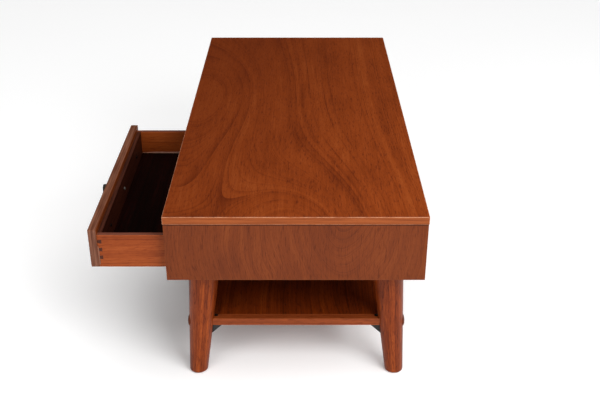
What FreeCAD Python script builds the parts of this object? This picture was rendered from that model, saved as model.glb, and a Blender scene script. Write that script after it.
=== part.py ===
import FreeCAD, Part
import os

import Sketcher
from FreeCAD import Placement, Rotation, Vector

# Long low table with a drawer at each end of its front, a shelf below and four turned, splayed legs.
# Millimetres. X runs along the length, the drawers face -Y, Z is up and the origin is the centre of
# the floor under the table. "Right" is +X, as someone facing the drawers sees it.

doc = FreeCAD.newDocument("side_table")
sheet = doc.addObject("Spreadsheet::Sheet", "dims")

DIMENSIONS = {
    # top and case
    "table_length": 1214,
    "table_depth": 562,
    "table_height": 445,
    "board": 18,
    "top_overhang": 1,
    "top_arris": 1.2,
    "arris": 0.8,
    "case_height": 138.5,
    "divider_thickness": 28,
    "front_rail_height": 23,
    "block_section": 20,
    "block_length": 60,
    "block_from_side": 90,
    # legs
    "foot_inset_end": 62,
    "foot_inset_side": 49.7,
    "leg_tilt": 7,
    "foot_radius": 21.1,
    "head_radius": 36.1,
    "foot_rounding": 3.5,
    "leg_trim": 12,
    "foot_glide_radius": 11,
    "foot_glide_height": 1.2,
    "hanger_radius": 4,
    "hanger_in_leg": 40,
    "tee_flange_radius": 10,
    "tee_flange_height": 1.5,
    "tee_barrel_radius": 5.5,
    "tee_barrel_height": 11,
    # shelf
    "shelf_top": 141.3,
    "shelf_rail_width": 18,
    "shelf_past_leg": 4.5,
    "shelf_notch_clearance": 2,
    "brace_thickness": 16,
    "brace_shift": 3,
    "brace_reach": 20,
    "brace_drop": 26,
    "brace_in_leg": 1,
    "brace_screw_radius": 1.5,
    "brace_screw_length": 30,
    "brace_screw_offset": 5,
    "brace_screw_from_leg": 5,
    "shelf_bolt_radius": 3,
    "shelf_bolt_head_radius": 6,
    "shelf_bolt_head_height": 4,
    "shelf_bolt_in_rail": 30,
    "button_radius": 13,
    "button_seat": 4,
    "button_rim": 0.8,
    "button_dome": 2.6,
    # drawers
    "reveal": 3,
    "drawer_open": 165.5,
    "drawer_box_inset": 3,
    "drawer_box_front": 9,
    "drawer_side": 12,
    "drawer_side_height": 79.5,
    "drawer_side_drop": 1.5,
    "drawer_side_rounding": 1.5,
    "drawer_box_depth": 457,
    "drawer_bottom": 6,
    "groove_height": 12,
    "groove_depth": 5,
    "dado_depth": 4,
    "back_from_end": 5,
    "pin_count": 3,
    "pin_first_drop": 16.4,
    "pin_pitch": 19.7,
    "pin_narrow": 6.5,
    "pin_wide": 10,
    "stop_gap": 0.5,
    "stop_length": 22,
    "stop_height": 15,
    "guide_width": 16,
    "guide_slack": 0.5,
    "guide_setback": 12,
    "guide_arris": 0.5,
    "runner_width": 44,
    "runner_groove": 8,
    "drawer_glide_radius": 5,
    "drawer_glide_height": 1.2,
    "drawer_glide_front": 30,
    "drawer_glide_spacing": 300,
    # drawer hardware
    "knob_radius": 11,
    "knob_neck_radius": 5.5,
    "knob_base_radius": 7.5,
    "knob_base_height": 2,
    "knob_neck_height": 11,
    "knob_projection": 24,
    "knob_rounding": 2.5,
    "knob_screw_in_knob": 12,
    "screw_radius": 2,
    "screw_head_radius": 4.25,
    "screw_head_height": 2.5,
    "front_screw_spacing": 360,
    "front_screw_bite": 10,
    "block_screw_bite": 12,
    # how far a cutter runs past the face it leaves by
    "cut_past": 1,
}
for row, (alias, value) in enumerate(DIMENSIONS.items(), start=1):
    sheet.set(f"A{row}", alias)
    sheet.set(f"B{row}", str(value))
    sheet.setAlias(f"B{row}", alias)
doc.recompute()

# Levels and faces that several pieces share, worked out from the sheet.
TOP_UNDER = "(dims.table_height - dims.board)"
CASE_UNDER = f"({TOP_UNDER} - dims.case_height)"
CASE_FLOOR = f"({CASE_UNDER} + dims.board)"
CASE_END = "(dims.table_length / 2 - dims.top_overhang)"
CASE_SIDE = "(dims.table_depth / 2 - dims.top_overhang)"
END_INNER = f"({CASE_END} - dims.board)"
BACK_INNER = f"({CASE_SIDE} - dims.board)"
DIVIDER_FACE = "(dims.divider_thickness / 2)"
RAIL_UNDER = f"({TOP_UNDER} - dims.front_rail_height)"
BAY_CENTRE = f"(({END_INNER} + {DIVIDER_FACE}) / 2)"
LEAN = "(tan(dims.leg_tilt * 1 deg) / sqrt(2))"
SHELF_UNDER = "(dims.shelf_top - dims.board)"
SHELF_MIDDLE = "(dims.shelf_top - dims.board / 2)"

DOWN = Vector(0, 0, -1)
UP = Vector(0, 0, 1)
LEVEL = 0.01  # edges closer in height than this are level
LEAST_CUT = 1  # a pocket that takes out less than this, in cubic millimetres, has missed


# ---------------------------------------------------------------- making pieces

def place(piece, x, y, z):
    for axis, expression in zip("xyz", (x, y, z)):
        piece.setExpression(f"Placement.Base.{axis}", expression)
    return piece


def new_body(label):
    body = doc.addObject("PartDesign::Body", label)
    body.Label = label
    return body


def add_sketch(body, plane, offset=None):
    """A sketch on one of the body's own origin planes, moved along its normal by offset."""
    sketch = body.newObject("Sketcher::SketchObject", f"{body.Name}_sketch")
    support = next(f for f in body.Origin.OriginFeatures if f.Role == plane)
    sketch.AttachmentSupport = (support, [""])
    sketch.MapMode = "FlatFace"
    if offset is not None:
        sketch.setExpression("AttachmentOffset.Base.z", offset)
    return sketch


def fix_point(sketch, geometry, vertex, x, y):
    """Holds one point of the outline at x, y from the sketch's origin."""
    for kind, axis, value in (("DistanceX", -2, x), ("DistanceY", -1, y)):
        if value == "0":
            sketch.addConstraint(Sketcher.Constraint("PointOnObject", geometry, vertex, axis))
        else:
            made = sketch.addConstraint(Sketcher.Constraint(kind, -1, 1, geometry, vertex, 1.0))
            sketch.setExpression(f"Constraints[{made}]", value)


def outline(sketch, points):
    """A closed outline of straight lines through points given as pairs of expressions. The lines
    are first drawn along a curve, so that none cross before the points are held in place."""
    first = sketch.GeometryCount
    count = len(points)
    for step in range(count):
        start = Vector(step, step * step, 0)
        end = Vector(step + 1, (step + 1) ** 2, 0) if step < count - 1 else Vector(0, 0, 0)
        sketch.addGeometry(Part.LineSegment(start, end))
    for step in range(count):
        following = first + (step + 1) % count
        sketch.addConstraint(Sketcher.Constraint("Coincident", first + step, 2, following, 1))
    for step, (x, y) in enumerate(points):
        fix_point(sketch, first + step, 1, x, y)


def box_outline(x0, x1, y0, y1):
    return [(x0, y0), (x1, y0), (x1, y1), (x0, y1)]


def pad(body, sketch, length, reverse=False):
    feature = body.newObject("PartDesign::Pad", f"{body.Name}_pad")
    feature.Profile = sketch
    feature.setExpression("Length", length)
    feature.Reversed = reverse
    return feature


def pocket(body, sketch, length=None, reverse=False):
    """Cuts to a depth on one side, or right through the body both ways when no length is given."""
    feature = body.newObject("PartDesign::Pocket", f"{body.Name}_pocket")
    feature.Profile = sketch
    if length is None:
        feature.Type = "ThroughAll"
        feature.Midplane = True
    else:
        feature.setExpression("Length", length)
        feature.Reversed = reverse
    before = feature.BaseFeature
    doc.recompute()
    if feature.Shape.Volume > before.Shape.Volume - LEAST_CUT:
        raise ValueError(f"{feature.Label} cuts nothing")
    return feature


def round_edges(body, radius, wanted=None):
    """Rounds every edge of the body so far, or the edges that wanted(edge) picks."""
    doc.recompute()
    base = body.Tip
    feature = body.newObject("PartDesign::Fillet", f"{body.Name}_fillet")
    if wanted is None:
        feature.Base = (base, ["Edge1"])
        feature.UseAllEdges = True
    else:
        names = [f"Edge{n}" for n, edge in enumerate(base.Shape.Edges, start=1) if wanted(edge)]
        feature.Base = (base, names)
    feature.setExpression("Radius", radius)
    doc.recompute()
    return feature


def board(label, corner, size, rounding="dims.arris"):
    """A sawn and planed board: its low corner, its size along X, Y and Z, and its eased edges."""
    body = new_body(label)
    sketch = add_sketch(body, "XY_Plane")
    outline(sketch, box_outline("0", size[0], "0", size[1]))
    pad(body, sketch, size[2])
    if rounding is not None:
        round_edges(body, rounding)
    return place(body, *corner)


def turned(label, points, direction, dome=None):
    """A piece turned about its own axis, which then lies along direction. points go from the
    axis out along the profile; dome names the height at which a cap arc meets the axis."""
    body = new_body(label)
    sketch = add_sketch(body, "XZ_Plane")
    if dome is None:
        outline(sketch, points)
    else:
        domed_outline(sketch, points, dome)
    spin = body.newObject("PartDesign::Revolution", f"{label}_spin")
    spin.Profile = sketch
    spin.ReferenceAxis = (sketch, ["V_Axis"])
    spin.Angle = 360
    body.Placement = Placement(Vector(0, 0, 0), Rotation(UP, direction))
    return body


def domed_outline(sketch, points, crown):
    """Three straight sides of a half section, closed by an arc whose centre is on the axis. It is
    drawn roughly first, and the points that are then fixed give it its real size."""
    corners = [Vector(0, 0, 0), Vector(13, 0, 0), Vector(13, 5, 0)]
    for start, end in zip(corners, corners[1:]):
        sketch.addGeometry(Part.LineSegment(start, end))
    sketch.addGeometry(Part.Arc(Vector(13, 5, 0), Vector(7, 7, 0), Vector(0, 8, 0)))
    sketch.addGeometry(Part.LineSegment(Vector(0, 8, 0), Vector(0, 0, 0)))
    arc_start, arc_end = (1, 2) if sketch.Geometry[2].StartPoint.x > 1 else (2, 1)
    sketch.addConstraint(Sketcher.Constraint("Coincident", 0, 2, 1, 1))
    sketch.addConstraint(Sketcher.Constraint("Coincident", 1, 2, 2, arc_start))
    sketch.addConstraint(Sketcher.Constraint("Coincident", 2, arc_end, 3, 1))
    sketch.addConstraint(Sketcher.Constraint("Coincident", 3, 2, 0, 1))
    sketch.addConstraint(Sketcher.Constraint("PointOnObject", 2, 3, -2))
    fix_point(sketch, 0, 1, *points[0])
    fix_point(sketch, 1, 1, *points[1])
    fix_point(sketch, 1, 2, *points[2])
    fix_point(sketch, 3, 1, "0", crown)


def rod(name, radius, length, start, direction):
    piece = doc.addObject("Part::Cylinder", name)
    piece.setExpression("Radius", radius)
    piece.setExpression("Height", length)
    piece.Placement = Placement(Vector(0, 0, 0), Rotation(UP, direction))
    return place(piece, *start)


def fused(name, pieces):
    piece = doc.addObject("Part::MultiFuse", name)
    piece.Shapes = pieces
    return piece


def group(label, pieces):
    """Several like solids that share one node."""
    piece = doc.addObject("Part::Compound", label)
    piece.Label = label
    piece.Links = pieces
    return piece


def fitted(label, blank, cutters):
    """The blank with the room for what passes through it cut away."""
    blank.Label = f"{label}_blank"
    piece = doc.addObject("Part::Cut", label)
    piece.Label = label
    piece.Base = blank
    piece.Tool = cutters[0] if len(cutters) == 1 else fused(f"{label}_cutters", cutters)
    return piece


def moved(value, by):
    return f"({value} + {by})"


def signed(sign, value):
    return f"({sign} * {value})"


nodes = []


def keep(*pieces):
    nodes.extend(pieces)


# ---------------------------------------------------------------- case

ENDS = {"right": 1, "left": -1}
SIDES = {"front": -1, "back": 1}

top_blank = board(
    "top_panel_blank",
    (signed(-1, "dims.table_length / 2"), signed(-1, "dims.table_depth / 2"), TOP_UNDER),
    ("dims.table_length", "dims.table_depth", "dims.board"),
    "dims.top_arris",
)

for side, sign in ENDS.items():
    low = END_INNER if sign > 0 else signed(-1, CASE_END)
    end_panel = board(
        f"end_panel_{side}",
        (low, signed(-1, CASE_SIDE), CASE_UNDER),
        ("dims.board", f"2 * {CASE_SIDE}", "dims.case_height"),
    )
    keep(end_panel)

back_panel = board(
    "back_panel",
    (signed(-1, END_INNER), BACK_INNER, CASE_UNDER),
    (f"2 * {END_INNER}", "dims.board", "dims.case_height"),
)
bottom_blank = board(
    "case_bottom_blank",
    (signed(-1, END_INNER), signed(-1, CASE_SIDE), CASE_UNDER),
    (f"2 * {END_INNER}", f"{CASE_SIDE} + {BACK_INNER}", "dims.board"),
)
front_rail = board(
    "front_top_rail",
    (signed(-1, END_INNER), signed(-1, CASE_SIDE), RAIL_UNDER),
    (f"2 * {END_INNER}", "dims.board", "dims.front_rail_height"),
)
divider = board(
    "centre_divider",
    (signed(-1, DIVIDER_FACE), signed(-1, CASE_SIDE), CASE_FLOOR),
    ("dims.divider_thickness", f"{CASE_SIDE} + {BACK_INNER}", f"{TOP_UNDER} - {CASE_FLOOR}"),
)
rail_notch = add_sketch(divider, "YZ_Plane")
notch_foot = f"{RAIL_UNDER} - {CASE_FLOOR}"
notch_top = moved(notch_foot, "dims.front_rail_height + dims.cut_past")
outline(rail_notch, box_outline("-dims.cut_past", "dims.board", notch_foot, notch_top))
pocket(divider, rail_notch)
keep(back_panel, front_rail, divider)

# Square blocks in the corner under the top, two at each end and one in each bay at the back.
block_places = []
for end_sign in (1, -1):
    low_x = f"({END_INNER} - dims.block_section)" if end_sign > 0 else signed(-1, END_INNER)
    for side_sign in (1, -1):
        centre_y = signed(side_sign, f"({CASE_SIDE} - dims.board - dims.block_from_side)")
        block_places.append((low_x, f"({centre_y} - dims.block_length / 2)", False))
for end_sign in (1, -1):
    centre_x = signed(end_sign, BAY_CENTRE)
    low_x = f"({centre_x} - dims.block_length / 2)"
    block_places.append((low_x, f"({BACK_INNER} - dims.block_section)", True))

BLOCK_UNDER = f"({TOP_UNDER} - dims.block_section)"
block_blanks = []
block_screws = []
for number, (low_x, low_y, along_x) in enumerate(block_places, start=1):
    size = ("dims.block_length", "dims.block_section")
    if not along_x:
        size = size[::-1]
    block_blanks.append(
        board(f"top_block_{number}", (low_x, low_y, BLOCK_UNDER), (*size, "dims.block_section"), None)
    )
    centre = (moved(low_x, f"{size[0]} / 2"), moved(low_y, f"{size[1]} / 2"))
    shank = rod(f"block_shank_{number}", "dims.screw_radius", "dims.block_section + dims.block_screw_bite",
                (*centre, BLOCK_UNDER), UP)
    head = rod(f"block_head_{number}", "dims.screw_head_radius", "dims.screw_head_height",
               (*centre, BLOCK_UNDER), DOWN)
    block_screws.append(fused(f"block_screw_{number}", [shank, head]))
top_screws = group("top_fixing_screws", block_screws)
top_blocks = fitted("top_fixing_blocks", group("top_fixing_blocks_blank", block_blanks), [top_screws])
keep(top_screws, top_blocks, fitted("top_panel", top_blank, [top_screws]))


# ---------------------------------------------------------------- legs

def leg_axis(sign, inset, span, height):
    return signed(sign, f"(dims.{span} / 2 - dims.{inset} - {LEAN} * {height})")


def leg_x(sign, height):
    return leg_axis(sign, "foot_inset_end", "table_length", height)


def leg_y(sign, height):
    return leg_axis(sign, "foot_inset_side", "table_depth", height)


def leg_radius(height):
    return f"(dims.foot_radius + (dims.head_radius - dims.foot_radius) * {height} / {CASE_UNDER})"


def leg_blank(label, end_sign, side_sign):
    """A straight taper turned about an axis that leans in towards the table's middle, then
    trimmed level at the floor and under the case, with its foot edge rounded."""
    body = new_body(label)
    profile = add_sketch(body, "XZ_Plane")
    profile.setExpression("AttachmentOffset.Rotation.Angle", "-dims.leg_tilt * 1 deg")
    low = "-dims.leg_trim"
    high = f"({CASE_UNDER} + dims.leg_trim)"
    outline(profile, [("0", low), (leg_radius(low), low), (leg_radius(high), high), ("0", high)])
    spin = body.newObject("PartDesign::Revolution", f"{label}_spin")
    spin.Profile = profile
    spin.ReferenceAxis = (profile, ["V_Axis"])
    spin.Angle = 360
    reach = f"(4 * dims.head_radius + {CASE_UNDER} * tan(dims.leg_tilt * 1 deg))"
    for height, upward in ((CASE_UNDER, True), ("dims.foot_glide_height", False)):
        trim = add_sketch(body, "XY_Plane", height)
        outline(trim, box_outline(f"-{reach}", reach, f"-{reach}", reach))
        pocket(body, trim, "4 * dims.leg_trim + dims.head_radius", upward)
    foot = min(edge.BoundBox.ZMax for edge in body.Tip.Shape.Edges)
    round_edges(body, "dims.foot_rounding", lambda edge: edge.BoundBox.ZMax < foot + LEVEL)
    towards_middle = Vector(-end_sign, -side_sign, 0)
    body.Placement = Placement(Vector(0, 0, 0), Rotation(Vector(1, 0, 0), towards_middle))
    return place(body, leg_x(end_sign, "0"), leg_y(side_sign, "0"), "0")


corners = [(end, side) for end in ENDS for side in SIDES]
leg_blanks = {}
hanger_bolts = {}
tee_nuts = {}
shelf_bolts = {}
buttons = {}
foot_glides = []
for end, side in corners:
    end_sign, side_sign = ENDS[end], SIDES[side]
    leg_blanks[end, side] = leg_blank(f"leg_{side}_{end}_blank", end_sign, side_sign)

    glide_centre = (leg_x(end_sign, "0"), leg_y(side_sign, "0"), "0")
    foot_glides.append(
        rod(f"foot_glide_{side}_{end}", "dims.foot_glide_radius", "dims.foot_glide_height", glide_centre, UP)
    )

    # A bolt screwed into the head of the leg stands up into a tee nut let into the case's bottom.
    head = (leg_x(end_sign, CASE_UNDER), leg_y(side_sign, CASE_UNDER))
    hanger_bolts[end, side] = rod(
        f"hanger_bolt_{side}_{end}", "dims.hanger_radius",
        "dims.hanger_in_leg + dims.board - dims.tee_flange_height",
        (*head, f"({CASE_UNDER} - dims.hanger_in_leg)"), UP,
    )
    flange = rod(f"tee_flange_{side}_{end}", "dims.tee_flange_radius", "dims.tee_flange_height",
                 (*head, CASE_FLOOR), DOWN)
    barrel = rod(f"tee_barrel_{side}_{end}", "dims.tee_barrel_radius", "dims.tee_barrel_height",
                 (*head, CASE_FLOOR), DOWN)
    tee_body = fused(f"tee_body_{side}_{end}", [flange, barrel])
    tee_nuts[end, side] = fitted(f"tee_nut_{side}_{end}", tee_body, [hanger_bolts[end, side]])

    # A bolt through the leg into the end of the shelf rail, under a turned wooden button.
    inward = Vector(0, -side_sign, 0)
    seat = f"({leg_radius(SHELF_MIDDLE)} - dims.button_seat)"
    seat_y = moved(leg_y(side_sign, SHELF_MIDDLE), signed(side_sign, seat))
    middle_x = leg_x(end_sign, SHELF_MIDDLE)
    start = (middle_x, seat_y, SHELF_MIDDLE)
    shank_length = f"{seat} + {leg_radius(SHELF_MIDDLE)} + dims.shelf_bolt_in_rail"
    bolt_shank = rod(f"shelf_shank_{side}_{end}", "dims.shelf_bolt_radius", shank_length, start, inward)
    bolt_head = rod(f"shelf_head_{side}_{end}", "dims.shelf_bolt_head_radius", "dims.shelf_bolt_head_height",
                    start, inward)
    shelf_bolts[end, side] = fused(f"shelf_bolt_{side}_{end}", [bolt_shank, bolt_head])
    rim = "(dims.button_seat + dims.button_rim)"
    button_profile = [("0", "0"), ("dims.button_radius", "0"), ("dims.button_radius", rim)]
    button = turned(f"button_{side}_{end}", button_profile, Vector(0, side_sign, 0),
                    moved(rim, "dims.button_dome"))
    buttons[end, side] = place(button, *start)

for corner in corners:
    end, side = corner
    cutters = [hanger_bolts[corner], shelf_bolts[corner], buttons[corner]]
    keep(fitted(f"leg_{side}_{end}", leg_blanks[corner], cutters))

bolt_group = group("leg_hanger_bolts", list(hanger_bolts.values()))
nut_group = group("leg_tee_nuts", list(tee_nuts.values()))
shelf_bolt_group = group("shelf_bolts", list(shelf_bolts.values()))
keep(bolt_group, nut_group, shelf_bolt_group)
keep(group("leg_buttons", list(buttons.values())))
keep(group("foot_glides", foot_glides))
keep(fitted("case_bottom", bottom_blank, [bolt_group, nut_group]))


# ---------------------------------------------------------------- shelf

RAIL_CENTRE = leg_x(1, SHELF_MIDDLE)
SHELF_END = f"({RAIL_CENTRE} - dims.shelf_rail_width / 2)"
SHELF_SIDE = f"({leg_y(1, 'dims.shelf_top')} - {leg_radius('dims.shelf_top')})"

PANEL_SIDE = f"({SHELF_SIDE} + dims.shelf_past_leg)"
NOTCH_FROM = f"({leg_x(1, 'dims.shelf_top')} - {leg_radius('dims.shelf_top')} - dims.shelf_notch_clearance)"

# The shelf board is a little wider than the gap between the legs, and notched to pass them.
quarter = [(SHELF_END, SHELF_SIDE), (NOTCH_FROM, SHELF_SIDE), (NOTCH_FROM, PANEL_SIDE)]
panel_outline = list(quarter)
panel_outline += [(signed(-1, x), y) for x, y in reversed(quarter)]
panel_outline += [(signed(-1, x), signed(-1, y)) for x, y in quarter]
panel_outline += [(x, signed(-1, y)) for x, y in reversed(quarter)]
shelf_panel = new_body("shelf_panel")
panel_sketch = add_sketch(shelf_panel, "XY_Plane")
outline(panel_sketch, panel_outline)
pad(shelf_panel, panel_sketch, "dims.board")
round_edges(shelf_panel, "dims.arris")
keep(place(shelf_panel, "0", "0", SHELF_UNDER))

brace_blanks = {}
brace_screws = {}
for end, side in corners:
    end_sign, side_sign = ENDS[end], SIDES[side]
    # The brace is a moulded triangular corner block, coped to the leg, under the rail's end.
    low_z = f"({SHELF_UNDER} - dims.brace_drop)"
    middle_y = leg_y(1, SHELF_UNDER)
    tip_y = f"({SHELF_SIDE} - dims.brace_reach)"
    low_y = f"({leg_y(1, low_z)} - {leg_radius(low_z)} + dims.brace_in_leg)"
    brace_outline = [
        (signed(side_sign, tip_y), SHELF_UNDER),
        (signed(side_sign, middle_y), SHELF_UNDER),
        (signed(side_sign, middle_y), low_z),
        (signed(side_sign, low_y), low_z),
    ]
    brace = new_body(f"brace_blank_{side}_{end}")
    sketch = add_sketch(brace, "YZ_Plane")
    outline(sketch, brace_outline)
    pad(brace, sketch, "dims.brace_thickness")
    brace_centre = signed(end_sign, f"({RAIL_CENTRE} - dims.brace_shift)")
    brace_blanks[end, side] = place(brace, f"({brace_centre} - dims.brace_thickness / 2)", "0", "0")

    screw_at = (
        signed(end_sign, f"({RAIL_CENTRE} - dims.brace_screw_offset)"),
        signed(side_sign, f"({SHELF_SIDE} - dims.brace_screw_from_leg)"),
        "dims.shelf_top",
    )
    shank = rod(f"brace_shank_{side}_{end}", "dims.brace_screw_radius", "dims.brace_screw_length",
                screw_at, DOWN)
    head = rod(f"brace_head_{side}_{end}", "dims.screw_head_radius", "dims.screw_head_height",
               screw_at, UP)
    brace_screws[end, side] = fused(f"brace_screw_{side}_{end}", [shank, head])

brace_screw_group = group("shelf_brace_screws", list(brace_screws.values()))
keep(brace_screw_group)
for corner in corners:
    end, side = corner
    cutters = [leg_blanks[corner], brace_screws[corner]]
    keep(fitted(f"shelf_brace_{side}_{end}", brace_blanks[corner], cutters))

for end, end_sign in ENDS.items():
    low_x = signed(end_sign, RAIL_CENTRE)
    rail = board(
        f"shelf_rail_{end}_blank",
        (f"({low_x} - dims.shelf_rail_width / 2)", signed(-1, leg_y(1, SHELF_MIDDLE)), SHELF_UNDER),
        ("dims.shelf_rail_width", f"2 * {leg_y(1, SHELF_MIDDLE)}", "dims.board"),
    )
    cutters = [shelf_bolt_group, brace_screw_group]
    cutters += [leg_blanks[end, side] for side in SIDES]
    keep(fitted(f"shelf_rail_{end}", rail, cutters))


# ---------------------------------------------------------------- drawers

FRONT_LENGTH = f"({END_INNER} - {DIVIDER_FACE} - 2 * dims.reveal)"
FRONT_HEIGHT = f"({RAIL_UNDER} - {CASE_FLOOR} - 2 * dims.reveal)"
FRONT_UNDER = f"({CASE_FLOOR} + dims.reveal)"
BOX_UNDER = f"({FRONT_UNDER} - dims.drawer_side_drop)"
BOX_FRONT_CLOSED = f"(dims.board - {CASE_SIDE})"
BOTTOM_UNDER = f"({BOX_UNDER} + dims.groove_height)"
BOTTOM_TOP = f"({BOTTOM_UNDER} + dims.drawer_bottom)"
SIDE_TOP = f"({BOX_UNDER} + dims.drawer_side_height)"
BOX_LENGTH = f"({FRONT_LENGTH} - 2 * dims.drawer_box_inset)"
INNER_LENGTH = f"({BOX_LENGTH} - 2 * dims.drawer_side)"
BACK_START = "(dims.drawer_box_depth - dims.back_from_end - dims.drawer_side)"
GROOVE_TOP = "(dims.groove_height + dims.drawer_bottom)"


def pin_outlines():
    """The dovetail pins seen from the drawer's end: narrow at the front, wide behind."""
    outlines = []
    for number in range(int(sheet.get("pin_count"))):
        centre = f"(dims.drawer_side_height - dims.pin_first_drop - {number} * dims.pin_pitch)"
        outlines.append([
            ("0", f"({centre} - dims.pin_narrow / 2)"),
            ("dims.drawer_box_front", f"({centre} - dims.pin_wide / 2)"),
            ("dims.drawer_box_front", f"({centre} + dims.pin_wide / 2)"),
            ("0", f"({centre} + dims.pin_narrow / 2)"),
        ])
    return outlines


def runs_back_at(height):
    """Picks the edges that run from front to back, level, at that height."""
    def wanted(edge):
        box = edge.BoundBox
        return box.YLength > box.XLength and box.ZMin > height - LEVEL
    return wanted


def drawer_side(label, outer_sign, low_x, box_front):
    """One side of the box: sockets for the pins, a groove for the bottom, a housing for the back."""
    side = board(label, (low_x, box_front, BOX_UNDER),
                 ("dims.drawer_side", "dims.drawer_box_depth", "dims.drawer_side_height"), None)
    round_edges(side, "dims.drawer_side_rounding", runs_back_at(sheet.get("drawer_side_height")))
    sockets = add_sketch(side, "YZ_Plane")
    for pin in pin_outlines():
        outline(sockets, pin)
    pocket(side, sockets)
    inner_face = None if outer_sign > 0 else "dims.drawer_side"
    groove = add_sketch(side, "YZ_Plane", inner_face)
    behind = "(dims.drawer_box_depth + dims.cut_past)"
    outline(groove, box_outline("dims.drawer_box_front", behind, "dims.groove_height", GROOVE_TOP))
    pocket(side, groove, "dims.groove_depth", outer_sign > 0)
    housing = add_sketch(side, "YZ_Plane", inner_face)
    above = "(dims.drawer_side_height + dims.cut_past)"
    outline(housing, box_outline(BACK_START, moved(BACK_START, "dims.drawer_side"), GROOVE_TOP, above))
    pocket(side, housing, "dims.dado_depth", outer_sign > 0)
    return side


def drawer(name, bay_sign, opening):
    """A drawer in its bay, pulled out by the expression opening."""
    bay = signed(bay_sign, BAY_CENTRE)
    front_y = f"(-{CASE_SIDE} - {opening})"
    box_front = f"({BOX_FRONT_CLOSED} - {opening})"
    front_x = f"({bay} - {FRONT_LENGTH} / 2)"
    box_x = f"({bay} - {BOX_LENGTH} / 2)"
    knob_height = f"({FRONT_UNDER} + {FRONT_HEIGHT} / 2)"
    box_inner = f"({box_front} + dims.drawer_box_front)"

    # knob and the screw that holds it from inside the box
    knob_profile = [
        ("0", "0"),
        ("dims.knob_base_radius", "0"),
        ("dims.knob_base_radius", "dims.knob_base_height"),
        ("dims.knob_neck_radius", "dims.knob_base_height"),
        ("dims.knob_neck_radius", "dims.knob_neck_height"),
        ("dims.knob_radius", "dims.knob_neck_height + dims.knob_rounding"),
        ("dims.knob_radius", "dims.knob_projection"),
        ("0", "dims.knob_projection"),
    ]
    knob = turned(f"{name}_knob_blank", knob_profile, Vector(0, -1, 0))
    doc.recompute()
    crown = max(edge.BoundBox.ZMin for edge in knob.Tip.Shape.Edges)
    round_edges(knob, "dims.knob_rounding", lambda edge: edge.BoundBox.ZMin > crown - LEVEL)
    place(knob, bay, front_y, knob_height)
    knob_screw_at = (bay, box_inner, knob_height)
    shank = rod(f"{name}_knob_shank", "dims.screw_radius",
                "dims.drawer_box_front + dims.board + dims.knob_screw_in_knob", knob_screw_at,
                Vector(0, -1, 0))
    head = rod(f"{name}_knob_head", "dims.screw_head_radius", "dims.screw_head_height",
               knob_screw_at, Vector(0, 1, 0))
    knob_screw = fused(f"{name}_knob_screw", [shank, head])
    keep(knob_screw, fitted(f"{name}_knob", knob, [knob_screw]))

    # two screws hold the show front to the box
    front_screws = []
    for hand in (1, -1):
        at = (moved(bay, signed(hand, "dims.front_screw_spacing / 2")), box_inner, knob_height)
        shank = rod(f"{name}_front_shank_{hand + 2}", "dims.screw_radius",
                    "dims.drawer_box_front + dims.front_screw_bite", at, Vector(0, -1, 0))
        head = rod(f"{name}_front_head_{hand + 2}", "dims.screw_head_radius", "dims.screw_head_height",
                   at, Vector(0, 1, 0))
        front_screws.append(fused(f"{name}_front_screw_{hand + 2}", [shank, head]))
    front_screw_group = group(f"{name}_front_screws", front_screws)
    keep(front_screw_group)

    front = board(f"{name}_front_blank", (front_x, front_y, FRONT_UNDER),
                  (FRONT_LENGTH, "dims.board", FRONT_HEIGHT))
    keep(fitted(f"{name}_front", front, [knob_screw, front_screw_group]))

    # box front: a board between the sides with a pin through each side
    box = new_body(f"{name}_box_front_blank")
    between = add_sketch(box, "XY_Plane")
    inner_end = f"({BOX_LENGTH} - dims.drawer_side)"
    outline(between, box_outline("dims.drawer_side", inner_end, "0", "dims.drawer_box_front"))
    pad(box, between, "dims.drawer_side_height")
    pins = add_sketch(box, "YZ_Plane")
    for pin in pin_outlines():
        outline(pins, pin)
    pad(box, pins, BOX_LENGTH)
    groove = add_sketch(box, "YZ_Plane")
    groove_floor = "(dims.drawer_box_front - dims.groove_depth)"
    past_inner = "(dims.drawer_box_front + dims.cut_past)"
    outline(groove, box_outline(groove_floor, past_inner, "dims.groove_height", GROOVE_TOP))
    pocket(box, groove)
    place(box, box_x, box_front, BOX_UNDER)
    keep(fitted(f"{name}_box_front", box, [knob_screw, front_screw_group]))

    for hand, outer_sign in ENDS.items():
        side_x = f"({box_x} + {BOX_LENGTH} - dims.drawer_side)" if outer_sign > 0 else box_x
        keep(drawer_side(f"{name}_side_{hand}", outer_sign, side_x, box_front))

    back = board(
        f"{name}_box_back",
        (f"({box_x} + dims.drawer_side - dims.dado_depth)", f"({box_front} + {BACK_START})", BOTTOM_TOP),
        (f"{INNER_LENGTH} + 2 * dims.dado_depth", "dims.drawer_side", f"{SIDE_TOP} - {BOTTOM_TOP}"),
        None,
    )

    # bottom: slides in from behind, under the back, into grooves in the sides and the front
    bottom = new_body(f"{name}_bottom")
    panel = add_sketch(bottom, "XY_Plane")
    tongue = "dims.groove_depth"
    inner_low = "dims.drawer_side"
    inner_high = f"({BOX_LENGTH} - dims.drawer_side)"
    outline(panel, [
        (inner_low, f"(dims.drawer_box_front - {tongue})"),
        (inner_high, f"(dims.drawer_box_front - {tongue})"),
        (inner_high, "dims.drawer_box_front"),
        (f"({inner_high} + {tongue})", "dims.drawer_box_front"),
        (f"({inner_high} + {tongue})", "dims.drawer_box_depth"),
        (f"({inner_low} - {tongue})", "dims.drawer_box_depth"),
        (f"({inner_low} - {tongue})", "dims.drawer_box_front"),
        (inner_low, "dims.drawer_box_front"),
    ])
    pad(bottom, panel, "dims.drawer_bottom")
    place(bottom, box_x, box_front, BOTTOM_UNDER)

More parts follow.
